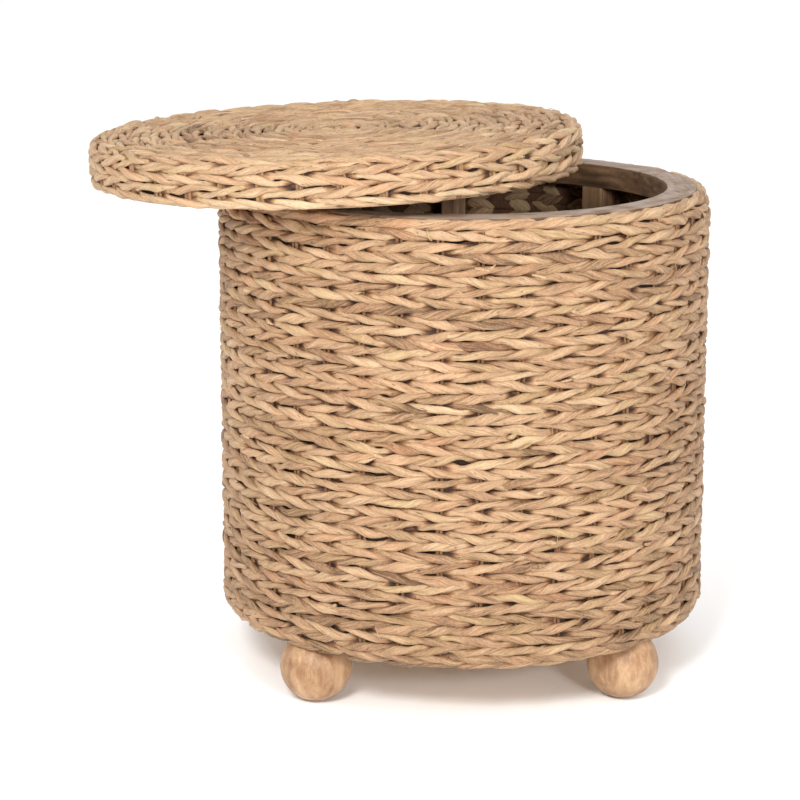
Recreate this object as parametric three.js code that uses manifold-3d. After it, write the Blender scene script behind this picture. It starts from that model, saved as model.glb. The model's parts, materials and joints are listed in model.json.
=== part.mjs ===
// Round woven storage ottoman. A timber frame of two segmented rings and eight posts stands on four ball feet
// and carries a woven wall. A loose woven lid, built up on plywood, lies over the upper ring, slid to one side
// and a little tipped. Millimetres, +Z up, floor at z = 0. The frame is modelled round its own axis,
// and the finished ottoman is then moved so that the middle of its footprint, lid included, is the origin.
import * as THREE from 'three';
import { mergeVertices } from 'three/addons/utils/BufferGeometryUtils.js';
import Module from 'manifold-3d';

const wasm = await Module();
wasm.setup();

// ---- Driving dimensions ----
const ROUND_SIDES = 64; // facets round the large circles
const FOOT_SIDES = 20; // facets round a ball foot
const SMALL_SIDES = 8; // facets round screws, tenons and their holes
const GAP = 0.3; // clearance between pieces that touch
const COUNT = 8; // posts, and segments in each ring

const WALL_RADIUS = 210; // outside of the woven wall
const WALL_INNER_RADIUS = 198.6;
const WALL_BOTTOM = 47.8;
const WALL_TOP = 414.8;
const WALL_CORNER = 13; // rounding where the wall turns under
const WALL_LIP = 4; // rounding of its top edge

const RING_OUTER = 197.8;
const RING_WIDTH = 25;
const RING_HEIGHT = 21;
const RING_TOP = 416; // it stands a little proud of the wall's top edge, and the lid lies on it
const POST_SIDE = 22;
const TENON_RADIUS = 6;
const TENON_LENGTH = 10;

const BOARD_THICKNESS = 9; // plywood, in the base and in the lid
const BASE_UNDERSIDE = 52;

const FOOT_RADIUS = 30; // ball
const FOOT_CIRCLE = 182; // radius on which the feet stand
const FOOT_FLAT = 7; // radius of the flat that the ball stands on
const FOOT_SHOULDER = 47.3; // height at which the ball is cut off under the wall
const FOOT_NECK = 14;
const FOOT_COUNT = 4;
const FOOT_SCREW_RADIUS = 4;
const FOOT_SCREW_BOTTOM = 20;
const FOOT_SCREW_TOP = 71;

const LID_RADIUS = 209.5;
const LID_THICKNESS = 41.6;
const LID_CORNER = 12;
const LID_SKIN = 9; // thickness of the weave on top
const LID_INNER_RADIUS = 199.3;
const LID_BATTEN_WIDTH = 40;
const LID_BATTEN_SPACING = 120;
const LID_SCREW_CIRCLE = 186;
const LID_SCREW_LENGTH = 18;
const LID_SCREW_HEAD = 4;
const LID_SCREW_SHANK = 2;

const LID_CLOSED_HEIGHT = 416.3; // the lid's underside when it is centred and level
const LID_SHIFT = 107.9; // how far it has been slid towards -X
const LID_RISE = 7.4; // how much higher its middle then lies
const LID_TIP = THREE.MathUtils.degToRad(2.07); // how far it then tips down towards -X

// ---- Worked out from them ----
const RING_INNER = RING_OUTER - RING_WIDTH;
const BASE_TOP = BASE_UNDERSIDE + BOARD_THICKNESS;
const LOWER_RING_BOTTOM = BASE_TOP + GAP;
const POST_BOTTOM = LOWER_RING_BOTTOM + RING_HEIGHT + GAP;
const POST_TOP = RING_TOP - RING_HEIGHT - GAP;
const STEP = (2 * Math.PI) / COUNT;

const LID_TOP_BOARD_TOP = LID_THICKNESS - LID_SKIN - GAP;
const LID_TOP_BOARD_BOTTOM = LID_TOP_BOARD_TOP - BOARD_THICKNESS;
const LID_BASE_BOARD_BOTTOM = 1;
const LID_BASE_BOARD_TOP = LID_BASE_BOARD_BOTTOM + BOARD_THICKNESS;
const LID_RIM_BOTTOM = LID_BASE_BOARD_TOP + GAP;
const LID_RIM_TOP = LID_TOP_BOARD_BOTTOM - GAP;

// ---- Materials ----
const finish = (color, roughness, metalness = 0) =>
  new THREE.MeshStandardMaterial({ color, roughness, metalness });
const WEAVE = finish(0xcfa57c, 0.85);
const TIMBER = finish(0xb0957a, 0.7);
const FOOT_TIMBER = finish(0xcda57c, 0.6);
const PLYWOOD = finish(0xc8ab82, 0.75);
const STEEL = finish(0x9a9a98, 0.4, 1);

// ---- Solids ----
function toSolid(geometry) {
  const bare = geometry.clone();
  bare.deleteAttribute('normal');
  bare.deleteAttribute('uv');
  const merged = mergeVertices(bare, 1e-3);
  return new wasm.Manifold(
    new wasm.Mesh({
      numProp: 3,
      vertProperties: new Float32Array(merged.attributes.position.array),
      triVerts: new Uint32Array(merged.index.array),
    }),
  );
}

function toGeometry(solid) {
  const { vertProperties, triVerts } = solid.getMesh();
  const geometry = new THREE.BufferGeometry();
  geometry.setAttribute('position', new THREE.BufferAttribute(vertProperties, 3));
  geometry.setIndex(new THREE.BufferAttribute(triVerts, 1));
  return geometry;
}

const joined = (a, b) => toGeometry(toSolid(a).add(toSolid(b)));
const cut = (a, tools) =>
  toGeometry(tools.reduce((solid, tool) => solid.subtract(toSolid(tool)), toSolid(a)));

// A solid of revolution about Z from [radius, height] points.
function turned(points, sides) {
  const profile = points.map(([radius, height]) => new THREE.Vector2(radius, height));
  return new THREE.LatheGeometry(profile, sides).rotateX(Math.PI / 2);
}

// A closed ring of revolution: the profile runs anticlockwise in (radius, height) and closes on itself.
const turnedRing = (points, sides) => turned([...points, points[0]], sides);

function disc(radius, bottom, top, sides = ROUND_SIDES) {
  return turned([[0, bottom], [radius, bottom], [radius, top], [0, top]], sides);
}

function cylinderAt(x, y, radius, bottom, top) {
  return disc(radius, bottom, top, SMALL_SIDES).translate(x, y, 0);
}

// Points on a circular arc in (radius, height), from one angle to another.
function arc(centreRadius, centreHeight, radius, from, to, steps) {
  return Array.from({ length: steps + 1 }, (_, i) => {
    const angle = from + ((to - from) * i) / steps;
    return [centreRadius + radius * Math.cos(angle), centreHeight + radius * Math.sin(angle)];
  });
}

// One curved block of a ring, centred on +X, with a small gap to its neighbours.
function ringSegment(inner, outer, bottom, top) {
  const half = STEP / 2 - GAP / 2 / inner;
  const shape = new THREE.Shape();
  shape.absarc(0, 0, outer, -half, half, false);
  shape.absarc(0, 0, inner, half, -half, true);
  shape.closePath();
  // Each arc gets twice curveSegments facets, so a whole ring has as many as the wall.
  const curveSegments = ROUND_SIDES / COUNT / 2;
  const options = { depth: top - bottom, bevelEnabled: false, curveSegments };
  return new THREE.ExtrudeGeometry(shape, options).translate(0, 0, bottom);
}

function piece(name, geometry, material, turn = 0) {
  const mesh = new THREE.Mesh(geometry, material);
  mesh.name = name;
  mesh.rotation.z = turn;
  return mesh;
}

// ---- Base: wall, rings, posts, board and feet ----
function wovenWall() {
  const edge = WALL_RADIUS - WALL_CORNER;
  const height = WALL_BOTTOM + WALL_CORNER;
  const start = -Math.acos((WALL_INNER_RADIUS - edge) / WALL_CORNER);
  return turnedRing(
    [
      ...arc(edge, height, WALL_CORNER, start, 0, 5),
      ...arc(WALL_RADIUS - WALL_LIP, WALL_TOP - WALL_LIP, WALL_LIP, 0, Math.PI / 2, 3),
      [WALL_INNER_RADIUS, WALL_TOP],
    ],
    ROUND_SIDES,
  );
}

const tenonHole = (radius, bottom, top) =>
  cylinderAt(radius, 0, TENON_RADIUS + GAP, bottom, top);

function post() {
  const middle = RING_INNER + POST_SIDE / 2;
  const block = new THREE.BoxGeometry(POST_SIDE, POST_SIDE, POST_TOP - POST_BOTTOM);
  block.translate(middle, 0, (POST_TOP + POST_BOTTOM) / 2);
  const tenons = cylinderAt(
    middle, 0, TENON_RADIUS, POST_BOTTOM - TENON_LENGTH, POST_TOP + TENON_LENGTH,
  );
  return joined(block, tenons);
}

function upperRingSegment() {
  const bottom = RING_TOP - RING_HEIGHT;
  const mortise = tenonHole(RING_INNER + POST_SIDE / 2, bottom - 1, bottom + TENON_LENGTH);
  return cut(ringSegment(RING_INNER, RING_OUTER, bottom, RING_TOP), [mortise]);
}

function lowerRingSegment(hasFoot) {
  const top = LOWER_RING_BOTTOM + RING_HEIGHT;
  const mortise = tenonHole(RING_INNER + POST_SIDE / 2, top - TENON_LENGTH, top + 1);
  const tools = [mortise];
  if (hasFoot) {
    tools.push(footScrewHole(FOOT_CIRCLE, 0, LOWER_RING_BOTTOM - 1, FOOT_SCREW_TOP + GAP));
  }
  return cut(ringSegment(RING_INNER, RING_OUTER, LOWER_RING_BOTTOM, top), tools);
}

const footScrewHole = (x, y, bottom, top) =>
  cylinderAt(x, y, FOOT_SCREW_RADIUS + GAP, bottom, top);

const footAngle = (i) => (i + 0.5) * ((2 * Math.PI) / FOOT_COUNT);

function baseBoard() {
  const holes = Array.from({ length: FOOT_COUNT }, (_, i) => {
    const [x, y] = [Math.cos(footAngle(i)), Math.sin(footAngle(i))].map((v) => v * FOOT_CIRCLE);
    return footScrewHole(x, y, BASE_UNDERSIDE - 1, BASE_TOP + 1);
  });
  return cut(disc(RING_OUTER - GAP, BASE_UNDERSIDE, BASE_TOP), holes);
}

function foot() {
  const centre = Math.sqrt(FOOT_RADIUS ** 2 - FOOT_FLAT ** 2);
  const start = -Math.acos(FOOT_FLAT / FOOT_RADIUS);
  const end = Math.asin((FOOT_SHOULDER - centre) / FOOT_RADIUS);
  const top = BASE_UNDERSIDE - GAP;
  const bore = FOOT_SCREW_RADIUS + GAP;
  const floor = FOOT_SCREW_BOTTOM - GAP;
  const profile = [
    [0, 0],
    ...arc(0, centre, FOOT_RADIUS, start, end, 9),
    [FOOT_NECK, FOOT_SHOULDER],
    [FOOT_NECK, top],
    [bore, top],
    [bore, floor],
    [0, floor],
  ];
  return turned(profile, FOOT_SIDES).translate(FOOT_CIRCLE, 0, 0);
}

function buildBase() {
  const base = new THREE.Group();
  base.add(piece('woven_wall', wovenWall(), WEAVE));
  base.add(piece('base_board', baseBoard(), PLYWOOD));
  const hasFoot = (i) => i % 2 === 1;
  const [upper, uprights] = [upperRingSegment(), post()];
  for (let i = 0; i < COUNT; i += 1) {
    base.add(piece(`top_ring_segment_${i + 1}`, upper, TIMBER, i * STEP));
    base.add(piece(`bottom_ring_segment_${i + 1}`, lowerRingSegment(hasFoot(i)), TIMBER, i * STEP));
    base.add(piece(`post_${i + 1}`, uprights, TIMBER, i * STEP));
  }
  const [ball, screw] = [
    foot(),
    cylinderAt(FOOT_CIRCLE, 0, FOOT_SCREW_RADIUS, FOOT_SCREW_BOTTOM, FOOT_SCREW_TOP),
  ];
  for (let i = 0; i < FOOT_COUNT; i += 1) {
    base.add(piece(`foot_${i + 1}`, ball, FOOT_TIMBER, footAngle(i)));
    base.add(piece(`foot_screw_${i + 1}`, screw, STEEL, footAngle(i)));
  }
  return base;
}

// ---- Lid: woven cover over two boards, a rim and two battens. Its own z = 0 is its underside. ----
function wovenCover() {
  const edge = LID_RADIUS - LID_CORNER;
  const lip = LID_CORNER / 3;
  return turned(
    [
      [0, LID_TOP_BOARD_TOP + GAP],
      [LID_INNER_RADIUS, LID_TOP_BOARD_TOP + GAP],
      [LID_INNER_RADIUS, 0],
      ...arc(LID_RADIUS - lip, lip, lip, -Math.PI / 2, 0, 3),
      ...arc(edge, LID_THICKNESS - LID_CORNER, LID_CORNER, 0, Math.PI / 2, 6),
      [0, LID_THICKNESS],
    ],
    ROUND_SIDES,
  );
}

// A countersunk screw pointing up from the underside, grown by a clearance to make its hole.
function lidScrew(clearance = 0) {
  const head = LID_SCREW_HEAD + clearance;
  const shank = LID_SCREW_SHANK + clearance;
  const bottom = LID_BASE_BOARD_BOTTOM;
  const profile = [
    [0, bottom - clearance],
    [head, bottom - clearance],
    [head, bottom + 0.5],
    [shank, bottom + 0.5 + LID_SCREW_HEAD - LID_SCREW_SHANK],
    [shank, bottom + LID_SCREW_LENGTH + clearance],
    [0, bottom + LID_SCREW_LENGTH + clearance],
  ];
  return turned(profile, SMALL_SIDES).translate(LID_SCREW_CIRCLE, 0, 0);
}

const lidScrewHoles = () =>
  Array.from({ length: COUNT }, (_, i) => lidScrew(GAP).rotateZ(i * STEP));

function lidBatten(side) {
  const y = (side * LID_BATTEN_SPACING) / 2;
  const reach = Math.sqrt((RING_INNER - 2) ** 2 - (Math.abs(y) + LID_BATTEN_WIDTH / 2) ** 2);
  const block = new THREE.BoxGeometry(2 * reach, LID_BATTEN_WIDTH, LID_RIM_TOP - LID_RIM_BOTTOM);
  return block.translate(0, y, (LID_RIM_TOP + LID_RIM_BOTTOM) / 2);
}

function buildLid() {
  const lid = new THREE.Group();
  const boardRadius = LID_INNER_RADIUS - 2 * GAP;
  const topBoard = disc(boardRadius, LID_TOP_BOARD_BOTTOM, LID_TOP_BOARD_TOP);
  const baseBlank = disc(boardRadius, LID_BASE_BOARD_BOTTOM, LID_BASE_BOARD_TOP);
  lid.add(piece('lid_weave', wovenCover(), WEAVE));
  lid.add(piece('lid_top_board', topBoard, PLYWOOD));
  lid.add(piece('lid_base_board', cut(baseBlank, lidScrewHoles()), PLYWOOD));
  const blank = ringSegment(RING_INNER, RING_OUTER, LID_RIM_BOTTOM, LID_RIM_TOP);
  const [rim, screw] = [cut(blank, [lidScrew(GAP)]), lidScrew()];
  for (let i = 0; i < COUNT; i += 1) {
    lid.add(piece(`lid_rim_segment_${i + 1}`, rim, TIMBER, i * STEP));
    lid.add(piece(`lid_screw_${i + 1}`, screw, STEEL, i * STEP));
  }
  lid.add(piece('lid_batten_1', lidBatten(-1), TIMBER));
  lid.add(piece('lid_batten_2', lidBatten(1), TIMBER));
  return lid;
}

// The lid slides and tips as one turn about a far axis along Y, below the floor, that carries its middle from
// the closed place to the place it lies in. The group's origin is on that axis.
function placedLid() {
  const chord = Math.hypot(LID_SHIFT, LID_RISE);
  const reach = chord / 2 / Math.tan(LID_TIP / 2);
  const x = -LID_SHIFT / 2 - (reach * LID_RISE) / chord;
  const z = LID_CLOSED_HEIGHT + LID_RISE / 2 - (reach * LID_SHIFT) / chord;
  const lid = buildLid();
  lid.position.set(-x, 0, LID_CLOSED_HEIGHT - z);
  const swing = new THREE.Group();
  swing.position.set(x, 0, z);
  swing.rotation.y = -LID_TIP;
  swing.add(lid);
  return swing;
}

// ---- The whole, centred over its footprint ----
const ottoman = new THREE.Group();
ottoman.add(buildBase(), placedLid());
const footprint = new THREE.Box3().setFromObject(ottoman, true);
ottoman.position.x = -(footprint.min.x + footprint.max.x) / 2;

export default ottoman;
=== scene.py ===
"""Looks of a round woven storage ottoman: twined wall and lid, timber ring and posts, ball feet.

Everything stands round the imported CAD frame. The making is in millimetres, round the body's own
axis or, for the lid, round the lid's axis with its underside at zero, and is then placed in the
frame in metres.
"""

import json
import math
from dataclasses import dataclass

import bpy
import numpy as np
from mathutils import Matrix, Vector


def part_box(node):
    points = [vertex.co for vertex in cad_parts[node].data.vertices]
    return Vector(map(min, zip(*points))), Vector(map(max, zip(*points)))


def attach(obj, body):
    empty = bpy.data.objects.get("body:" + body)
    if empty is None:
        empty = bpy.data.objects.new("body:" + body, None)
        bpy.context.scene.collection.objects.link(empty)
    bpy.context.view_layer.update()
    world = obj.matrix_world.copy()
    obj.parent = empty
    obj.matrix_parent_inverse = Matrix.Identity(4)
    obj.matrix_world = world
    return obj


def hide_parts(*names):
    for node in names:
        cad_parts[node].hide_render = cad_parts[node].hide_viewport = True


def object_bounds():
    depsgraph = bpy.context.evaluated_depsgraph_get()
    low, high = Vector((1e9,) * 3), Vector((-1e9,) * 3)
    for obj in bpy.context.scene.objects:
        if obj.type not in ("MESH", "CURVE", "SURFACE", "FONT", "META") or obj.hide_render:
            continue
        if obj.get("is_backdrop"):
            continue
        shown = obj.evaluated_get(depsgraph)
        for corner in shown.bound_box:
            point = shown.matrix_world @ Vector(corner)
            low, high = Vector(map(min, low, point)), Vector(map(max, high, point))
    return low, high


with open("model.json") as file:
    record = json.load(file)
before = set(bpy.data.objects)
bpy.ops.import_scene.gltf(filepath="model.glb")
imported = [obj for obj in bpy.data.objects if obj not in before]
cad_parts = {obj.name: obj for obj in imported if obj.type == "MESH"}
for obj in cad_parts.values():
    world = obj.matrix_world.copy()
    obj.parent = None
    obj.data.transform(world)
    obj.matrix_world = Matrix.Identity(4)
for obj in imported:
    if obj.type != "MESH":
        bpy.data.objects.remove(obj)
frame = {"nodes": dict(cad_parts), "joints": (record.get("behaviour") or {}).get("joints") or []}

cad_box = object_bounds()
MM = 0.001
TAU = 2 * math.pi

# ---- Places and sizes, from the frame ----
wall_low, wall_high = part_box("woven_wall")
AXIS_X = (wall_low.x + wall_high.x) / 2
WALL_RADIUS = (wall_high.y - wall_low.y) / 2 / MM
WALL_BOTTOM = wall_low.z / MM
WALL_TOP = wall_high.z / MM

COUNT = 8  # posts, and segments in each ring
HALF_STEP = math.pi / COUNT
RING_OUTER = (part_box("top_ring_segment_1")[1].x - AXIS_X) / MM
RING_INNER = (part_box("top_ring_segment_1")[0].x - AXIS_X) / MM / math.cos(HALF_STEP)
post_low, post_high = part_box("post_1")
POST_SIDE = (post_high.y - post_low.y) / MM
RING_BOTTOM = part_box("top_ring_segment_1")[0].z / MM

JOINT = frame["joints"][0]
LID_TIP = math.radians(JOINT["range_deg"][1])  # level again when the lid has slid home
LID_THICKNESS = 41.6
LID_BOARD_MIDDLE = 5.5  # the base board's mid-height above the lid's underside
LID_RADIUS = (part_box("lid_weave")[1].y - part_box("lid_weave")[0].y) / 2 / MM

BODY_PLACE = Matrix.Translation((AXIS_X, 0, 0)) @ Matrix.Scale(MM, 4)
lid_turn = Matrix.Rotation(-LID_TIP, 4, "Y")
board_low, board_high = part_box("lid_base_board")
lid_origin = (board_low + board_high) / 2 - lid_turn @ Vector((0, 0, LID_BOARD_MIDDLE * MM))
LID_PLACE = Matrix.Translation(lid_origin) @ lid_turn @ Matrix.Scale(MM, 4)

# ---- Weave sizes ----
STAKES = 40  # upright stakes, in pairs of thin fibres, that the courses are twined over
FIRST_STAKE = math.radians(0.8)
PITCH = 8.63  # from one course to the next
STRAND_SIDES = 16
STEP_LENGTH = 2.7  # between the sections of a strand
FEWEST_STEPS = 6  # from one stake to the next
COURSES_PER_PIECE = 3
STRAIGHTNESS = 0.93  # how straight a strand runs over a stake before it turns back
SHOWN_LONGER = 0.35  # a strand stays outside for longer than inside
FLATTENED = 1.5  # how quickly a strand dives between two stakes
INSIDE_TALL = 6.4  # half the height of a strand where it runs inside, pressed flat
PACKING_DEPTH = -2.2  # inwards from the stakes
PACKING_THICK = 0.9
PACKING_TALL = 5.0
PACKING_SIDES = 8
PACKING_STEPS = 6  # from one stake to the next
PACKING_OPEN = 0.15, 0.03  # to light from the inside, and from the outside: the outer side is painted almost black as shade
PACKING_TONE = 0.4
STAKE_RADIUS = 1.35
STAKE_SIDES = 7
STAKE_STEP = 3.2  # between the sections of a stake's fibre

WALL_CORNER = 13  # rounding where the wall turns under
WALL_SKIN = 5.7  # from the outside of the wall to the middle of its weave
WALL_COURSES = 43
WALL_FIRST = 4.8  # from the wall's top edge to the middle of the first course
WALL_CROWD = 2.7  # how far the courses above the middle have crept up, at most
CROWDED_COURSES = 34
EDGE_CLEAR = 0.8  # the most that strands stand over the wall's top edge, under the closed lid
# The first course is pressed against the ring, level with its top, and the second closes up to it.
CLOSING_UP = {0: (3.8, 0.8), 1: (1.3, 0.9)}  # how far these two courses move inwards and up
# What a course's sizes are is said in Course.
WALL_SHAPE = dict(reach=2.4, rise=2.2, thick=2.8, tall=3.75, narrow=2.6, wander=0.6)
EDGE_SHAPE = dict(
    reach=1.4, rise=1.5, thick=3.4, tall=3.9, narrow=2.6, wander=0.2, packed=False
)
WALL_TONE = 0.48
EDGE_TONE = 0.46
PALE_COURSES = 24  # from here down the strands grow slightly darker
WALL_DARKER = 0.11  # by this much at the bottom
WALL_FIBRES = -1.65, 1.65  # where the fibres of a stake lie beside its middle
WALL_FIBRES_FIRST = 8.5  # where they start, from the wall's top edge
WALL_FIBRES_SHORT = 4  # how far they end before the place of one more course
WALL_FIBRES_OPEN = 0.2  # to light: the stake fibres get painted shade, being seen in the holes between strands

LID_CORNER = 12
LID_SKIN = 4.8
LID_FIRST = 6.5
LID_SIDE_COURSES = 5  # they are paler than the top, whose darker tone is painted shade
LID_CLEAR = 1.2  # from the lid's underside up to its lowest strands
LID_TUCK = 9  # the lid's lowest course lies below this height, and is tucked in under it
LID_TUCK_IN = 5
LID_TUCK_LEAN = 1.1
LID_SHAPE = dict(reach=2.1, rise=2.3, thick=2.5, tall=3.4, narrow=2.4, wander=0.7)
LID_EDGE_SHAPE = dict(
    reach=2.1, rise=1.7, thick=2.5, tall=3.1, narrow=2.4, wander=0.25, bare=-1
)
LID_SIDE_TONE = 0.63
# The straw's tone darkened as painted shade on the lid's upward face.
LID_TOP_SHADED_TONE = 0.55
LID_STAKES = (150, STAKES), (78, STAKES // 2), (26, STAKES // 4)  # a radius, and stakes outside it
MIDDLE_STAKES = 6  # in the middle of the lid
LID_FIBRES = -2.4, 0, 2.4
LID_FIBRES_FIRST = 2.5
# to light: painted shade on the lid's stake fibres, as on the wall's
LID_FIBRES_OPEN = 0.27

# ---- Unevenness ----
# UNEVEN is a standard deviation from stake to stake, in millimetres unless it says otherwise.
UNEVEN_SWING = 0.26  # radians
UNEVEN_OUT = 0.4
UNEVEN_RISE = 0.25  # a share, as are the next three
UNEVEN_SIZE = 0.1
UNEVEN_INSIDE = 0.12
UNEVEN_THICK = 0.08
UNEVEN_UP = 0.45
UNEVEN_TWIST = 0.8  # radians
UNEVEN_TONE = 0.05
UNEVEN_HUE = 0.11
UNEVEN_BATCH = 0.1  # of the tone, from run to run of stakes
BATCH_RUN = 3, 8  # stakes in a run, from the first number to below the second
UNEVEN_ROD = 0.12  # of the tone and the hue, from rod to rod: fibres and ends
ROD_TONE = 0.55
MIDDLE_HUE = 0.5
LOBES = 0.09, 0.07, 0.045  # of a strand's section, twofold, threefold and fivefold
LOBE_DRIFT = 0.05  # how the fivefold ones turn, in radians for each millimetre of the strand
FULL_TWIST = 50, 120  # a strand turns once round itself in a length between these
INSIDE_CURVE = 0.8  # power by which a strand grows taller where it runs inside
SLOW_WAVES = 4, 13  # numbers of waves round a loop, lowest and highest
QUICK_WAVES = 20, 60
SIZE_WAVES = 30, 90
SMALL_RIPPLE = 0.3
SIZE_RIPPLE = 0.05  # a share
STAKE_WOBBLE = 0.35  # of its fibres, sideways
STAKE_RAISED = 0.25  # and outwards
ROD_WAVES = 1, 6
ROD_WAVE_LENGTH = 30  # millimetres of a stake's fibre that count as a radian of these waves
SHARED_WAVES = (3, 0.31, 0.4), (5, -0.23, 1.9), (8, 0.52, 3.1), (2, 0.12, 5.0)
SHARED_FIRST = 0.2  # size of the wander that the first course shares with its neighbours
SHARED_MORE = 0.35  # added by each course
SHARED_MOST = 0.9
WALL_DRIFT = 0.0, 0.55  # phase of that wander, at the first course, and added by each
LID_DRIFT = 60, 0.6
FIBRE_RADIUS = 3  # of a strand, where its material is worked out
STRAND_SPAN = 5000  # each strand has its material from somewhere else in this length
NOISE_SPAN = 3000  # and each rod and piece of wood from somewhere in this cube

# ---- Seeds of the random draws ----
WALL_SEED = 100  # this and the others count up, by one for each course or piece
LID_SEED = 300
RING_SEED = 20
POST_SEED = 40
FOOT_SEED = 60
STAKES_SEED = 7
LOOSE_SEED = 11

# ---- Timber sizes ----
EASED_EDGE = 1.1  # rounding of the sawn edges
BALL_RADIUS = 30
BALL_FLAT = 7  # radius where the ball is cut flat to stand on
BALL_EASE = 0.8  # how much smaller the flat itself is
BALL_NECK = 14
BALL_STEPS = 40
FOOT_TURN = 1.3  # radians from one foot's grain to the next
CLEAR = 0.1  # left free at each end of a block of wood
SHARP = math.radians(40)


# ---- Mesh making ----
def grid_quads(rows, columns, start=0):
    """Faces of a tube, from one row of corners round each of its sections."""
    i = np.arange(rows - 1)[:, None] * columns
    j = np.arange(columns)[None, :]
    beside = (j + 1) % columns
    corners = [i + j, i + columns + j, i + columns + beside, i + beside]
    return np.stack(np.broadcast_arrays(*corners), -1).reshape(-1, 4) + start


def fast_mesh(name, points, quads, place):
    """A smooth mesh of quads only, from arrays of points in millimetres."""
    mesh = bpy.data.meshes.new(name)
    mesh.vertices.add(len(points))
    turned = np.asarray(points) @ np.array(place.to_3x3()).T + np.array(place.translation)
    mesh.vertices.foreach_set("co", turned.astype(np.float32).ravel())
    mesh.loops.add(quads.size)
    mesh.loops.foreach_set("vertex_index", quads.astype(np.int32).ravel())
    mesh.polygons.add(len(quads))
    mesh.polygons.foreach_set("loop_start", np.arange(0, quads.size, 4, dtype=np.int32))
    mesh.update(calc_edges=True)
    mesh.validate()
    mesh.shade_smooth()
    return mesh


def set_attribute(mesh, name, values):
    """Stores a number, or a vector of three, at each corner of a mesh."""
    values = np.asarray(values, np.float32)
    kind = "FLOAT_VECTOR" if values.ndim == 2 else "FLOAT"
    made = mesh.attributes.new(name, kind, "POINT")
    made.data.foreach_set("vector" if values.ndim == 2 else "value", values.ravel())


def add_piece(mesh, body, material, replaced=()):
    """Makes a mesh into a piece of the ottoman."""
    made = bpy.data.objects.new(mesh.name, mesh)
    bpy.context.scene.collection.objects.link(made)
    mesh.materials.append(material)
    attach(made, body)
    if replaced:
        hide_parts(*replaced)
    return made


# ---- Strands ----
def eased(values, position):
    """Values given at whole positions round a loop, with a smooth passage from each to the next."""
    whole = np.floor(position).astype(int)
    part = position - whole
    part = part * part * (3 - 2 * part)
    return values[whole % len(values)] * (1 - part) + values[(whole + 1) % len(values)] * part


def ripple(rng, angle, size, lowest, highest, count=5):
    """A smooth unevenness round a loop, made of a few waves."""
    waves = rng.integers(lowest, highest + 1, count)
    phases = rng.uniform(0, TAU, count)
    return size * sum(np.sin(w * angle + p) for w, p in zip(waves, phases)) / math.sqrt(count / 2)


@dataclass
class Course:
    """A round of two-strand twining. Its outward direction leans up from level by lean."""

    radius: float
    height: float
    lean: float
    slope: int  # 1 where the strands rise to the right, seen from outside, and -1 where they fall
    stakes: int
    seed: int
    reach: float  # how far a strand swings out and in
    rise: float  # how far it swings up and down
    thick: float  # half its thickness, outwards
    tall: float  # half its height over a stake
    narrow: float  # half its height between stakes
    wander: float
    sway: float  # the part of its rise and fall that it shares with its neighbours
    drift: float  # phase of that part
    tone: float  # the higher, the paler
    lowest: float = -math.inf  # no part of a strand lies below this height
    highest: float = math.inf  # nor above this one
    innermost: float = 0.0  # nor nearer to the axis than this
    bare: int = 0  # 1 where its upper side is open to the light, and -1 where its lower side is: that side gets less painted shade
    packed: bool = True  # a hidden cord closes it from inside


def shared_wander(angle, level, size):
    """Rise and fall that neighbouring courses have in common, at a level counted in courses."""
    return size * sum(np.sin(n * angle + k * level + p) for n, k, p in SHARED_WAVES) / 2


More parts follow.
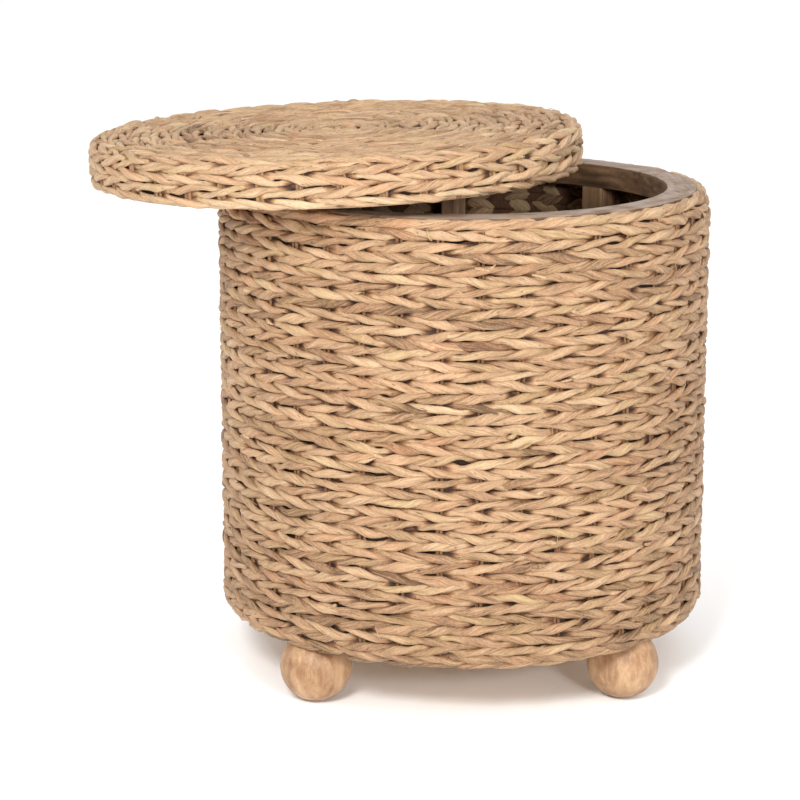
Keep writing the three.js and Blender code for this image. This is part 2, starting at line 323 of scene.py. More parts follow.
def strand_points(course, number, rng):
    """One strand of a course: its points, and what its material reads at each of them."""
    around = TAU * course.radius
    steps = course.stakes * max(FEWEST_STEPS, round(around / course.stakes / STEP_LENGTH))
    # Its ends meet between two stakes.
    turn = TAU * (np.arange(steps + 1) / steps - 0.5 / course.stakes)
    position = turn / TAU * course.stakes

    def uneven(size):
        return eased(rng.normal(0, size, course.stakes), position)

    swing = course.slope * math.pi * position + math.pi * number + uneven(UNEVEN_SWING)
    over = np.cos(swing)
    depth = np.tanh(FLATTENED * (over + SHOWN_LONGER)) / math.tanh(FLATTENED)
    out = course.reach * depth + uneven(UNEVEN_OUT)
    straight = np.arcsin(STRAIGHTNESS * np.sin(swing)) / math.asin(STRAIGHTNESS)
    up = course.rise * straight * (1 + uneven(UNEVEN_RISE)) + uneven(UNEVEN_UP)
    up += ripple(rng, turn, course.wander, *SLOW_WAVES)
    up += shared_wander(turn, course.drift, course.sway)
    up += ripple(rng, turn, SMALL_RIPPLE, *QUICK_WAVES)
    size = 1 + uneven(UNEVEN_SIZE) + ripple(rng, turn, SIZE_RIPPLE, *SIZE_WAVES)
    wider = np.where(over > 0, (course.tall - course.narrow) * over**2, 0)
    inside_tall = INSIDE_TALL * (1 + uneven(UNEVEN_INSIDE)) - course.narrow
    wider += np.where(depth < 0, inside_tall * np.abs(depth) ** INSIDE_CURVE, 0)
    tall = (course.narrow + wider) * size
    thick = course.thick * (1 + uneven(UNEVEN_THICK))

    section = TAU * np.arange(STRAND_SIDES) / STRAND_SIDES
    length = turn * course.radius
    twist = course.slope * turn * round(around / rng.uniform(*FULL_TWIST))
    twist += uneven(UNEVEN_TWIST) + rng.uniform(0, TAU)
    fibre_angle = section[None, :] - twist[:, None]
    twofold, threefold, fivefold = LOBES
    lobed = 1 + twofold * np.cos(2 * fibre_angle) + threefold * np.cos(3 * fibre_angle + 1)
    lobed += fivefold * np.sin(5 * fibre_angle + LOBE_DRIFT * length[:, None])
    along_out = out[:, None] + thick[:, None] * lobed * np.cos(section)
    along_up = up[:, None] + tall[:, None] * lobed * np.sin(section)

    tilt_out, tilt_up = math.cos(course.lean), math.sin(course.lean)
    radius = course.radius + along_out * tilt_out - along_up * tilt_up
    height = course.height + along_out * tilt_up + along_up * tilt_out
    radius = np.maximum(radius, course.innermost)
    height = np.clip(height, course.lowest, course.highest)
    angle = turn[:, None] + FIRST_STAKE
    points = np.stack([radius * np.cos(angle), radius * np.sin(angle), height], -1)

    run = rng.integers(*BATCH_RUN)
    batch = np.repeat(rng.normal(0, UNEVEN_BATCH, course.stakes), run)[: course.stakes]
    tone = course.tone + eased(batch + rng.normal(0, UNEVEN_TONE, course.stakes), position)
    hue = MIDDLE_HUE + uneven(UNEVEN_HUE)
    # How much painted shade the colour gets: none out on the surface, most deep between the stakes,
    # less on a bare side.
    open_to_light = np.abs(along_out) / (course.reach + course.thick)
    bare_side = course.bare * along_up / (course.rise + course.tall)
    open_to_light = np.maximum(open_to_light, bare_side)
    fibre = np.stack(
        [
            np.cos(fibre_angle) * FIBRE_RADIUS,
            np.sin(fibre_angle) * FIBRE_RADIUS,
            np.broadcast_to(length[:, None] + rng.uniform(0, STRAND_SPAN), fibre_angle.shape),
        ],
        -1,
    )
    flat = (len(turn) * STRAND_SIDES,)
    spread = np.ones((1, STRAND_SIDES))
    return {
        "points": points.reshape(-1, 3),
        "quads": grid_quads(len(turn), STRAND_SIDES),
        "tone": (tone[:, None] * spread).reshape(flat),
        "hue": (hue[:, None] * spread).reshape(flat),
        "open": open_to_light.reshape(flat),
        "fibre": fibre.reshape(-1, 3),
    }


def packing_points(course, rng):
    """The thin cord that closes a course behind its stakes, painted dark as shade where it shows in
    the holes.
    """
    steps = PACKING_STEPS * course.stakes
    turn = TAU * np.arange(steps + 1) / steps
    section = TAU * np.arange(PACKING_SIDES) / PACKING_SIDES
    up = ripple(rng, turn, SMALL_RIPPLE, *SLOW_WAVES)
    up += shared_wander(turn, course.drift, course.sway)
    along_out = PACKING_DEPTH + PACKING_THICK * np.cos(section)
    along_up = up[:, None] + PACKING_TALL * np.sin(section)
    tilt_out, tilt_up = math.cos(course.lean), math.sin(course.lean)
    radius = course.radius + along_out * tilt_out - along_up * tilt_up
    height = course.height + along_out * tilt_up + along_up * tilt_out
    angle = turn[:, None]
    points = np.stack([radius * np.cos(angle), radius * np.sin(angle), height], -1)
    points = points.reshape(-1, 3)
    # Painted shade: nearly black on the cord's outer side, lighter on its inner side.
    open_to_light = np.where(np.cos(section) < 0, *PACKING_OPEN)
    return {
        "points": points,
        "quads": grid_quads(len(turn), PACKING_SIDES),
        "tone": np.full(len(points), PACKING_TONE),
        "hue": np.full(len(points), MIDDLE_HUE),
        "open": np.tile(open_to_light, len(turn)),
        "fibre": points,
    }


def weave_piece(name, courses, place, body, replaced):
    """Joins the strands of a few courses into one piece."""
    parts = []
    for course in courses:
        rng = np.random.default_rng(course.seed)
        parts += [strand_points(course, number, rng) for number in range(2)]
        if course.packed:
            parts.append(packing_points(course, rng))
    starts = np.cumsum([0] + [len(part["points"]) for part in parts])
    quads = np.concatenate([part["quads"] + start for part, start in zip(parts, starts)])
    mesh = fast_mesh(name, np.concatenate([part["points"] for part in parts]), quads, place)
    for key in ("tone", "hue", "open", "fibre"):
        set_attribute(mesh, key, np.concatenate([part[key] for part in parts]))
    return add_piece(mesh, body, WEAVE, [replaced])


def round_corner(distance, radius, start, direction, straight, corner, skin):
    """(radius, height, lean) of the middle of a skin, at a distance along its outside.

    The outside runs straight up or down from its start, round a corner, and then in towards the
    axis.
    """
    bend = corner * math.pi / 2
    turn = min(max((distance - straight) / corner, 0), math.pi / 2)
    inward = max(distance - straight - bend, 0)
    outside_radius = radius - corner * (1 - math.cos(turn)) - inward
    outside_height = start + direction * (min(distance, straight) + corner * math.sin(turn))
    return (
        outside_radius - skin * math.cos(turn),
        outside_height - direction * skin * math.sin(turn),
        direction * turn,
    )


def on_wall(distance):
    straight = WALL_TOP - WALL_BOTTOM - WALL_CORNER
    return round_corner(distance, WALL_RADIUS, WALL_TOP, -1, straight, WALL_CORNER, WALL_SKIN)


def on_lid(distance):
    straight = LID_THICKNESS - LID_CORNER
    radius, height, lean = round_corner(distance, LID_RADIUS, 0, 1, straight, LID_CORNER, LID_SKIN)
    tucked = max(0, LID_TUCK - height) / LID_TUCK
    return radius - LID_TUCK_IN * tucked, height, lean - LID_TUCK_LEAN * tucked


def shared_part(k, drift):
    """The part of a course's wander that it shares with its neighbours. The first course is 0."""
    first, more = drift
    return dict(sway=min(SHARED_FIRST + SHARED_MORE * k, SHARED_MOST), drift=first + more * k)


def wall_courses():
    for k in range(WALL_COURSES):
        crept = math.sin(math.pi * min(k, CROWDED_COURSES) / CROWDED_COURSES) ** 2
        radius, height, lean = on_wall(WALL_FIRST + k * PITCH - WALL_CROWD * crept)
        inwards, upwards = CLOSING_UP.get(k, (0, 0))
        radius, height = radius - inwards, height + upwards
        darker = WALL_DARKER * max(0, k - PALE_COURSES) / (WALL_COURSES - PALE_COURSES)
        yield Course(
            radius, height, lean, 1 if k % 2 == 0 else -1, STAKES, WALL_SEED + k,
            tone=WALL_TONE - darker if k else EDGE_TONE, highest=WALL_TOP + EDGE_CLEAR,
            innermost=RING_OUTER if height > RING_BOTTOM else 0, bare=1 if k in CLOSING_UP else 0,
            **shared_part(k, WALL_DRIFT), **(WALL_SHAPE if k else EDGE_SHAPE),
        )


def stakes_at(radius):
    """How many stakes a course of the lid crosses, fewer towards the middle."""
    for least, count in LID_STAKES:
        if radius > least:
            return count
    return MIDDLE_STAKES


LID_REACH = LID_THICKNESS - LID_CORNER + LID_CORNER * math.pi / 2 + LID_RADIUS - LID_CORNER


def lid_courses():
    for k in range(int(LID_REACH / PITCH)):
        radius, height, lean = on_lid(LID_FIRST + k * PITCH)
        yield Course(
            radius, height, lean, -1 if k % 2 == 0 else 1, stakes_at(radius), LID_SEED + k,
            tone=LID_SIDE_TONE if k < LID_SIDE_COURSES else LID_TOP_SHADED_TONE, lowest=LID_CLEAR,
            **shared_part(k, LID_DRIFT), **(LID_SHAPE if k else LID_EDGE_SHAPE),
        )


def build_weave():
    for name, courses, place, body, replaced in (
        ("wall_weave", list(wall_courses()), BODY_PLACE, "base", "woven_wall"),
        ("lid_weave_course", list(lid_courses()), LID_PLACE, "lid", "lid_weave"),
    ):
        for number, first in enumerate(range(0, len(courses), COURSES_PER_PIECE), 1):
            group = courses[first : first + COURSES_PER_PIECE]
            weave_piece(f"{name}_{number:02d}", group, place, body, replaced)


# ---- Materials ----
def linear(red, green, blue):
    """A colour given as it looks on a screen, from 0 to 255, as the shader wants it."""
    return tuple(
        v / 12.92 if v <= 0.04045 else ((v + 0.055) / 1.055) ** 2.4
        for v in (red / 255, green / 255, blue / 255)
    ) + (1,)


def grey(level):
    return (level, level, level, 1)


class Shader:
    """A material's node tree, with short ways to add to it."""

    def __init__(self, name):
        self.material = bpy.data.materials.new(name)
        self.material.use_nodes = True
        self.tree = self.material.node_tree
        self.surface = self.tree.nodes["Principled BSDF"]

    def node(self, kind, inputs=(), **settings):
        made = self.tree.nodes.new("ShaderNode" + kind)
        for key, value in settings.items():
            setattr(made, key, value)
        self.plug(made, inputs)
        return made

    def plug(self, node, inputs):
        for key, value in dict(inputs).items():
            if isinstance(value, bpy.types.NodeSocket):
                self.tree.links.new(value, node.inputs[key])
            else:
                node.inputs[key].default_value = value

    def attribute(self, name, output="Fac"):
        return self.node("Attribute", attribute_name=name).outputs[output]

    def place_in_piece(self):
        """Where a point lies in its piece, in millimetres."""
        return self.stretched(self.node("TexCoord").outputs["Object"], (1 / MM,) * 3)

    def ramp(self, factor, *stops):
        made = self.node("ValToRGB", {"Fac": factor})
        elements = made.color_ramp.elements
        for _ in range(len(stops) - 2):
            elements.new(0.5)
        for element, (place, colour) in zip(elements, stops):
            element.position = place
            element.color = colour
        return made.outputs["Color"]

    def noise(self, vector, scale, detail=3.0, roughness=0.5, distortion=0.0):
        inputs = {"Vector": vector, "Scale": scale, "Detail": detail}
        inputs |= {"Roughness": roughness, "Distortion": distortion}
        return self.node("TexNoise", inputs).outputs["Fac"]

    def stretched(self, vector, scale):
        return self.node("Mapping", {"Vector": vector, "Scale": scale}).outputs["Vector"]

    def math(self, operation, first, second):
        return self.node("Math", {0: first, 1: second}, operation=operation).outputs[0]

    def mix(self, blend, amount, first, second):
        made = self.node("Mix", data_type="RGBA", blend_type=blend)
        self.plug(made, {0: amount, 6: first, 7: second})
        return made.outputs[2]

    def bump(self, height, distance, strength=1.0):
        inputs = {"Height": height, "Distance": distance, "Strength": strength}
        self.plug(self.surface, {"Normal": self.node("Bump", inputs).outputs["Normal"]})

    def finish(self, colour, roughness):
        self.plug(self.surface, {"Base Color": colour, "Roughness": roughness})
        return self.material


def strand_material(name):
    """Dried twisted leaf: streaks along its fibres, a tone and a hue of its own for each, and
    painted shade in its crevices.
    """
    made = Shader(name)
    fibre = made.attribute("fibre", "Vector")
    streaks = made.noise(made.stretched(fibre, (0.75, 0.75, 0.03)), 1.0, 4, 0.65)
    fine = made.noise(made.stretched(fibre, (2.6, 2.6, 0.1)), 1.0, 3, 0.65)
    crinkles = made.noise(made.stretched(fibre, (0.7, 0.7, 0.45)), 1.0, 3, 0.6)
    blotches = made.noise(made.stretched(fibre, (0.12, 0.12, 0.05)), 1.0, 3)
    tone = made.math("ADD", made.attribute("tone"), made.math("MULTIPLY", streaks, 1.0))
    tone = made.math("ADD", tone, made.math("MULTIPLY", blotches, 0.5))
    tone = made.math("ADD", tone, made.math("MULTIPLY", crinkles, 0.5))
    tone = made.math("SUBTRACT", tone, 1.0)
    straw = made.ramp(
        tone,
        (0.1, linear(104, 76, 50)),
        (0.34, linear(162, 125, 91)),
        (0.6, linear(190, 155, 119)),
        (0.92, linear(212, 182, 145)),
    )
    tinted = made.ramp(
        made.math("ADD", made.attribute("hue"), made.math("MULTIPLY", blotches, 0.3)),
        (0.3, linear(245, 250, 230)),
        (0.65, linear(255, 255, 255)),
        (1.0, linear(255, 238, 228)),
    )
    colour = made.mix("MULTIPLY", 1.0, straw, tinted)
    # Painted shade: the colour grows dark where the strand lies deep in the weave, as read from
    # open.
    painted_shade = made.ramp(
        made.attribute("open"),
        (0.0, linear(36, 25, 17)),
        (0.1, linear(112, 88, 68)),
        (0.22, linear(200, 178, 154)),
        (0.4, linear(255, 255, 255)),
    )
    colour = made.mix("MULTIPLY", 1.0, colour, painted_shade)
    lines = made.ramp(fine, (0.34, grey(0.68)), (0.52, grey(1)))
    colour = made.mix("MULTIPLY", 1.0, colour, lines)
    marks = made.noise(made.stretched(fibre, (0.4, 0.4, 0.13)), 1.0, 2)
    marks = made.ramp(marks, (0.66, grey(1)), (0.74, grey(0.35)))
    colour = made.mix("MULTIPLY", 1.0, colour, marks)
    height = made.math("ADD", streaks, made.math("MULTIPLY", fine, 0.5))
    height = made.math("ADD", height, made.math("MULTIPLY", crinkles, 0.7))
    made.bump(height, 0.0018, 0.85)
    roughness = made.ramp(streaks, (0.3, grey(0.5)), (0.7, grey(0.68)))
    return made.finish(colour, roughness)


WOOD_STOPS = 0.35, 0.5, 0.66  # where a wood's dark, middle and light tones stand


def wood_material(name, where, tones, rings=1.0, rough=0.55, mottled=0.5, top_tones=None):
    """Sawn or turned wood, with its grain along the first direction of where, in millimetres.

    The tones are dark, middle and light. Faces that look up can have tones of their own. The
    higher rings is, the closer together its growth rings.
    """
    made = Shader(name)
    place = where(made)
    warp = made.noise(made.stretched(place, (0.004, 0.03, 0.03)), 1.0, 2)
    across = 0.22 * rings
    bands = made.noise(made.stretched(place, (0.006, across, across)), 1.0, 3, 0.55, 0.4)
    pores = made.noise(made.stretched(place, (0.03, 1.6, 1.6)), 1.0, 4, 0.65)
    patches = made.noise(made.stretched(place, (0.035, 0.07, 0.07)), 1.0, 4, 0.6)
    tone = made.math("ADD", made.math("MULTIPLY", bands, 0.6), made.math("MULTIPLY", warp, 0.2))
    tone = made.math("ADD", tone, made.math("MULTIPLY", pores, 0.2))

    def toned(colours):
        return made.ramp(tone, *((stop, linear(*rgb)) for stop, rgb in zip(WOOD_STOPS, colours)))

    colour = toned(tones)
    # Faces that look up get tones of their own; on the ring the other faces are darker, as painted
    # shade.
    if top_tones:
        upward_colour = toned(top_tones)
        normal = made.node("TexCoord").outputs["Normal"]
        upward = made.node("SeparateXYZ", {"Vector": normal}).outputs["Z"]
        upward = made.ramp(upward, (0.5, grey(0)), (0.8, grey(1)))
        colour = made.mix("MIX", upward, colour, upward_colour)
    blots = made.ramp(patches, (0.36, linear(196, 170, 146)), (0.56, linear(255, 255, 255)))
    colour = made.mix("MULTIPLY", mottled, colour, blots)
    fine = made.ramp(pores, (0.3, grey(0.8)), (0.5, grey(1)))
    colour = made.mix("MULTIPLY", 0.7, colour, fine)
    made.bump(made.math("ADD", pores, made.math("MULTIPLY", bands, 0.5)), 0.0003, 0.5)
    roughness = made.ramp(pores, (0.3, grey(rough + 0.15)), (0.7, grey(rough)))
    return made.finish(colour, roughness)


def grain_stored(made):
    return made.attribute("grain", "Vector")


def steel_material():
    """Zinc-plated screws, with fine turning marks."""
    made = Shader("steel")
    place = made.place_in_piece()
    marks = made.noise(made.stretched(place, (3, 3, 0.4)), 1.0, 3)
    colour = made.ramp(marks, (0.3, grey(0.42)), (0.7, grey(0.62)))
    made.plug(made.surface, {"Metallic": 1.0})
    made.bump(marks, 0.0001, 0.4)
    return made.finish(colour, made.ramp(marks, (0.3, grey(0.3)), (0.7, grey(0.45))))


WEAVE = strand_material("woven_strand")
WARM_TONES = (116, 86, 58), (158, 125, 92), (178, 146, 112)
# The ring: paler tones on faces that look up; its other faces take its own wood colour darkened as
# painted shade.
RING_TOP_TONES = (124, 106, 91), (146, 128, 113), (158, 141, 127)
RING_SIDE_SHADED_TONES = (66, 46, 29), (107, 81, 55), (140, 109, 76)
FOOT_TONES = (142, 108, 76), (172, 137, 101), (194, 160, 124)
PLY_TONES = (168, 132, 96), (196, 162, 124), (212, 182, 146)
TIMBER = wood_material("frame_timber", grain_stored, WARM_TONES, rough=0.6)
RING_TIMBER = wood_material(
    "ring_timber", grain_stored, RING_SIDE_SHADED_TONES, rough=0.6, mottled=0.9, top_tones=RING_TOP_TONES
)
INNER_TIMBER = wood_material("hidden_timber", Shader.place_in_piece, WARM_TONES)
FOOT = wood_material(
    "foot_timber", grain_stored, FOOT_TONES, rings=0.4, rough=0.42, mottled=0.8
)
PLYWOOD = wood_material("plywood", Shader.place_in_piece, PLY_TONES, rings=0.5, rough=0.6)
STEEL = steel_material()


# ---- Timber ----
def plain_mesh(name, points, faces):
    mesh = bpy.data.meshes.new(name)
    mesh.from_pydata(points, [], faces)
    mesh.shade_smooth()
    mesh.set_sharp_from_angle(angle=SHARP)
    return mesh


def wood_piece(mesh, place, body, material, seed, along, replaced):
    """Puts a piece of wood in place. Its grain runs along X, Y or Z of its own frame: 0, 1 or 2."""
    points = np.zeros(len(mesh.vertices) * 3, np.float32)
    mesh.vertices.foreach_get("co", points)
    start = np.random.default_rng(seed).uniform(0, NOISE_SPAN, 3)
    grain = np.roll(points.reshape(-1, 3), -along, axis=1) + start
    set_attribute(mesh, "grain", grain)
    mesh.transform(place)
    return add_piece(mesh, body, material, replaced)


def eased_outline(low, high, ease=EASED_EDGE, steps=4):
    """A rectangle with rounded corners, anticlockwise, as (first, second) points."""
    corners = (
        (high[0] - ease, low[1] + ease, -0.5),
        (high[0] - ease, high[1] - ease, 0.0),
        (low[0] + ease, high[1] - ease, 0.5),
        (low[0] + ease, low[1] + ease, 1.0),
    )
    return [
        (x + ease * math.cos(a), y + ease * math.sin(a))
        for x, y, quarter in corners
        for a in (math.pi * (quarter + 0.5 * i / steps) for i in range(steps + 1))
    ]


def with_ends(rows, columns):
    """Faces of a tube of rows of corners, with a flat end at both ends."""
    faces = grid_quads(rows, columns).tolist()
    faces.append(list(range(columns)))
    faces.append([(rows - 1) * columns + j for j in reversed(range(columns))])
    return faces


def ring_segment(name, bottom, top, steps=30):
    """A curved block of a ring, round +X."""
    outline = eased_outline((RING_INNER, bottom), (RING_OUTER, top))
    half = HALF_STEP - CLEAR / RING_INNER
    angles = [half * (2 * i / steps - 1) for i in range(steps + 1)]
    points = [(r * math.cos(a), r * math.sin(a), z) for a in angles for r, z in outline]
    return plain_mesh(name, points, with_ends(len(angles), len(outline)))


def post(name, bottom, top):
    """An upright with eased edges, flush with the inside of the rings, at azimuth zero."""
    half = POST_SIDE / 2
    outline = eased_outline((RING_INNER, -half), (RING_INNER + POST_SIDE, half))
    heights = (bottom, top)
    points = [(x, y, z) for z in heights for x, y in outline]
    faces = [list(reversed(face)) for face in with_ends(len(heights), len(outline))]
    return plain_mesh(name, points, faces)


def turned(name, profile, sides=96):
    """A solid of revolution about Z, from (radius, height) points going up."""
    angles = [TAU * i / sides for i in range(sides)]
    points = [(r * math.cos(a), r * math.sin(a), z) for r, z in profile for a in angles]
    faces = [list(reversed(face)) for face in with_ends(len(profile), sides)]
    return plain_mesh(name, points, faces)


def ball_foot(name, top):
    centre = math.sqrt(BALL_RADIUS**2 - BALL_FLAT**2)
    first = -math.acos(BALL_FLAT / BALL_RADIUS)
    last = math.acos(BALL_NECK / BALL_RADIUS)
    profile = [(BALL_FLAT - BALL_EASE, 0)]
    for i in range(BALL_STEPS + 1):
        angle = first + (last - first) * i / BALL_STEPS
        profile.append((BALL_RADIUS * math.cos(angle), centre + BALL_RADIUS * math.sin(angle)))
    profile.append((BALL_NECK, top))
    return turned(name, profile)


def turned_about(place, angle):
    return place @ Matrix.Rotation(angle, 4, "Z")


def build_timber():
    step = 2 * HALF_STEP
    for i in range(COUNT):
        place = turned_about(BODY_PLACE, i * step)
        for end in ("top", "bottom"):
            node = f"{end}_ring_segment_{i + 1}"
            low, high = (corner.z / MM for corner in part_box(node))
            mesh = ring_segment(f"{end}_ring_{i + 1}", low, high)
            seed = RING_SEED + i
            wood_piece(mesh, place, "base", RING_TIMBER, seed, 1, [node])
        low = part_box(f"bottom_ring_segment_{i + 1}")[1].z / MM + CLEAR
        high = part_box(f"top_ring_segment_{i + 1}")[0].z / MM - CLEAR
        mesh = post(f"upright_{i + 1}", low, high)
        seed = POST_SEED + i
        wood_piece(mesh, place, "base", TIMBER, seed, 2, [f"post_{i + 1}"])
    for i in range(1, 5):
        low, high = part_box(f"foot_{i}")
        place = Matrix.Translation(((low.x + high.x) / 2, (low.y + high.y) / 2, 0))
        mesh = ball_foot(f"ball_foot_{i}", high.z / MM)
        place = turned_about(place @ Matrix.Scale(MM, 4), FOOT_TURN * i)
        seed = FOOT_SEED + i
        wood_piece(mesh, place, "base", FOOT, seed, 2, [f"foot_{i}"])


def finish_carried_nodes():
    """Gives a material to each CAD node that is still shown."""
    for node, shown in frame["nodes"].items():
        if not shown.hide_render:
            material = INNER_TIMBER
            if "board" in node:
                material = PLYWOOD
            if "screw" in node:
                material = STEEL
            shown.data.materials.clear()
            shown.data.materials.append(material)


# ---- Stakes and stray fibres ----
def tube(path, side, radius, sides=STAKE_SIDES):
    """Points of a round rod along a path. Side is a direction across it, at each point."""
    direction = np.gradient(path, axis=0)
    direction /= np.linalg.norm(direction, axis=1, keepdims=True)
    other = np.cross(side, direction)
    angle = TAU * np.arange(sides)[:, None] / sides
    radius = np.broadcast_to(radius, len(path))[:, None, None]
    round_it = np.cos(angle) * side[:, None, :] + np.sin(angle) * other[:, None, :]
    return (path[:, None, :] + radius * round_it).reshape(-1, 3)


def rod_piece(name, rods, place, body, seed, open_to_light=0.6):
    """Joins rods, each a list of points with a number of sections, into one piece."""
    rng = np.random.default_rng(seed)
    points, quads, fibre, tone, hue, start = [], [], [], [], [], 0
    for rod in rods:
        rows = len(rod) // STAKE_SIDES
        points.append(rod)
        quads.append(grid_quads(rows, STAKE_SIDES, start))
        start += len(rod)
        fibre.append(rod + rng.uniform(0, NOISE_SPAN, 3))
        tone.append(np.full(len(rod), rng.normal(ROD_TONE, UNEVEN_ROD)))
        hue.append(np.full(len(rod), rng.normal(MIDDLE_HUE, UNEVEN_ROD)))
    mesh = fast_mesh(name, np.concatenate(points), np.concatenate(quads), place)
    set_attribute(mesh, "fibre", np.concatenate(fibre))
    set_attribute(mesh, "tone", np.concatenate(tone))
    set_attribute(mesh, "hue", np.concatenate(hue))
    set_attribute(mesh, "open", np.full(start, open_to_light))
    return add_piece(mesh, body, WEAVE)


def stake_rods(profile, first, last, count, rng, fibres):
    """Thin fibres across the courses, at equal angles, between two distances along a profile."""
    distances = np.arange(first, last, STAKE_STEP)
    shape = np.array([profile(d) for d in distances])
    for stake in range(count):
        for aside in fibres:
            angle = FIRST_STAKE + TAU * stake / count
            wobble = ripple(rng, distances / ROD_WAVE_LENGTH, STAKE_WOBBLE, *ROD_WAVES) + aside
            raised = ripple(rng, distances / ROD_WAVE_LENGTH, STAKE_RAISED, *ROD_WAVES)
            radius = shape[:, 0] + raised * np.cos(shape[:, 2])
            out = np.array([math.cos(angle), math.sin(angle), 0])
            across = np.array([-math.sin(angle), math.cos(angle), 0])
            path = radius[:, None] * out + wobble[:, None] * across
            path[:, 2] = shape[:, 1]
            yield tube(path, np.tile(across, (len(path), 1)), STAKE_RADIUS)


def build_stakes():
    rng = np.random.default_rng(STAKES_SEED)
    last = WALL_FIRST + WALL_COURSES * PITCH - WALL_FIBRES_SHORT
    rods = stake_rods(on_wall, WALL_FIBRES_FIRST, last, STAKES, rng, WALL_FIBRES)
    rod_piece("wall_stakes", rods, BODY_PLACE, "base", STAKES_SEED + 1, WALL_FIBRES_OPEN)
    rods, first = [], LID_FIBRES_FIRST
    for inner, count in LID_STAKES:
        last = LID_REACH - inner
        rods += stake_rods(on_lid, first, last, count, rng, LID_FIBRES)
        first = last
    rod_piece("lid_stakes", rods, LID_PLACE, "lid", STAKES_SEED + 2, LID_FIBRES_OPEN)


LOOSE_STEPS = 12
LOOSE_FIRST = 1.5, 3.0  # how far it starts outside the middle of the weave
LOOSE_ARC = 1.6, 3.0  # radians of the arc that it rises by


def loose_rods(profile, first, last, count, rng, lengths, radius, lift, slope):
    """Ends of strands or fibres that lie on the weave, between two distances along a profile.

    Each rises from under the surface to lift above it, and wanders off its course by up to slope.
    """
    for _ in range(count):
        length = rng.uniform(*lengths)
        steps = np.linspace(0, 1, LOOSE_STEPS)
        heading = rng.normal(0, slope) + rng.normal(0, slope) * steps
        ahead = rng.choice((-1, 1)) * length * np.cumsum(np.cos(heading)) / len(steps)
        aside = length * np.cumsum(np.sin(heading)) / len(steps)
        middle = rng.uniform(first, last)
        shape = np.array([profile(max(middle + a, 0.5)) for a in aside])
        raised = rng.uniform(*lift) * np.sin(steps * rng.uniform(*LOOSE_ARC))
        raised += rng.uniform(*LOOSE_FIRST)
        lean = shape[:, 2]
        away = shape[:, 0] + raised * np.cos(lean)
        angle = rng.uniform(0, TAU) + ahead / shape[:, 0]
        height = shape[:, 1] + raised * np.sin(lean)
        path = np.stack([away * np.cos(angle), away * np.sin(angle), height], -1)
        direction = np.gradient(path, axis=0)
        across = np.cross(direction, np.array([0.1, 0.2, 1.0]))
        across /= np.linalg.norm(across, axis=1, keepdims=True)
        taper = rng.uniform(*radius) * (0.3 + 0.7 * np.sin(math.pi * np.minimum(steps + 0.15, 1)))
        yield tube(path, across, taper)


HAIR = dict(lengths=(10, 34), radius=(0.2, 0.32), lift=(1.5, 4.5), slope=0.8)
TRIMMED_END = dict(lengths=(9, 20), radius=(1.3, 2.2), lift=(1.2, 2.2), slope=0.35)
WALL_REACH = WALL_COURSES * PITCH
LOOSE_ENDS = (  # name, profile, first, last, count, kind, place, body
    ("wall_loose_fibres", on_wall, 12, WALL_REACH - 10, 150, HAIR, BODY_PLACE, "base"),
    ("wall_strand_ends", on_wall, 14, WALL_REACH - 14, 150, TRIMMED_END, BODY_PLACE, "base"),
    ("lid_loose_fibres", on_lid, 12, LID_REACH - 70, 60, HAIR, LID_PLACE, "lid"),
    ("lid_strand_ends", on_lid, 14, LID_REACH - 60, 50, TRIMMED_END, LID_PLACE, "lid"),
)


def build_loose_ends():
    """Fibres that have come away, and the trimmed ends of strands."""
    rng = np.random.default_rng(LOOSE_SEED)
    for number, (name, profile, first, last, count, kind, place, body) in enumerate(LOOSE_ENDS, 1):
        rods = list(loose_rods(profile, first, last, count, rng, **kind))
        rod_piece(name, rods, place, body, LOOSE_SEED + number)


build_weave()
build_timber()
build_stakes()
build_loose_ends()
finish_carried_nodes()


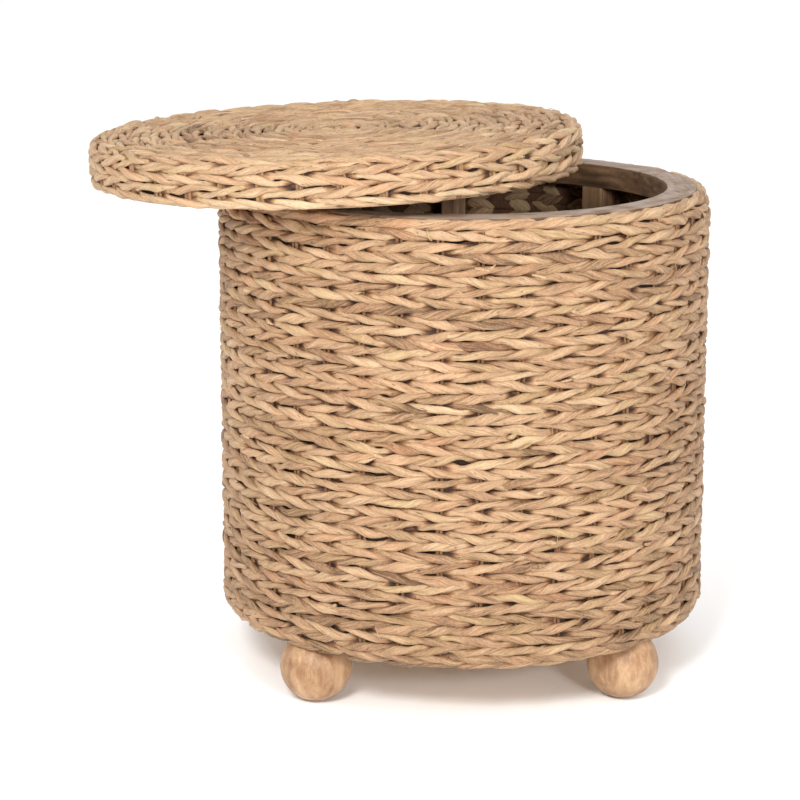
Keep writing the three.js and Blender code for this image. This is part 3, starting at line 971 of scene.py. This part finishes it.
# ---- Floor, light and camera, in metres ----
FLOOR_REACH = 30
LIGHTS = (  # name, place, target, width, height, power
    ("key", (-0.72, -2.35, 1.87), (0, 0, 0.25), 0.75, 0.75, 62),
    ("fill", (0.9, -1.5, 2.3), (0.1, 0, 0.35), 0.9, 0.9, 4),
    ("front", (0.85, -2.45, 0.98), (0.1, 0.19, 0.37), 0.5, 0.3, 26),
)
CAMERA_LENS = 113.93  # millimetres, as is the sensor
CAMERA_SENSOR = 36
CAMERA_PLACE = (AXIS_X - 0.1178, -2.1457, 0.7162)
CAMERA_TILT = 77.152  # degrees, 90 is level
CAMERA_YAW = -1.69


def build_studio():
    mesh = bpy.data.meshes.new("floor")
    far = FLOOR_REACH
    corners = [(-far, -far, 0), (far, -far, 0), (far, far, 0), (-far, far, 0)]
    mesh.from_pydata(corners, [], [(0, 1, 2, 3)])
    floor = bpy.data.objects.new("floor", mesh)
    bpy.context.scene.collection.objects.link(floor)
    made = Shader("floor")
    mesh.materials.append(made.finish(grey(1), 0.9))
    floor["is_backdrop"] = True

    world = bpy.data.worlds.new("studio")
    bpy.context.scene.world = world
    world.use_nodes = True
    world.node_tree.nodes["Background"].inputs["Color"].default_value = grey(1)
    world.node_tree.nodes["Background"].inputs["Strength"].default_value = 1.0
    bpy.context.scene.view_settings.view_transform = "Standard"


def add_light(name, place, target, width, height, power):
    data = bpy.data.lights.new(name, "AREA")
    data.shape = "ELLIPSE"
    data.size = width
    data.size_y = height
    data.energy = power
    light = bpy.data.objects.new(name, data)
    light.location = place
    light.rotation_euler = (Vector(target) - Vector(place)).to_track_quat("-Z", "Y").to_euler()
    bpy.context.scene.collection.objects.link(light)


def build_camera():
    data = bpy.data.cameras.new("camera")
    data.lens = CAMERA_LENS
    data.sensor_width = CAMERA_SENSOR
    camera = bpy.data.objects.new("camera", data)
    camera.location = CAMERA_PLACE
    camera.rotation_euler = (math.radians(CAMERA_TILT), 0, math.radians(CAMERA_YAW))
    bpy.context.scene.collection.objects.link(camera)
    bpy.context.scene.camera = camera


build_studio()
for light in LIGHTS:
    add_light(*light)
build_camera()

boxes = {"cad": cad_box, "visual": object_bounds()}
{key: [list(corner) for corner in box] for key, box in boxes.items()}
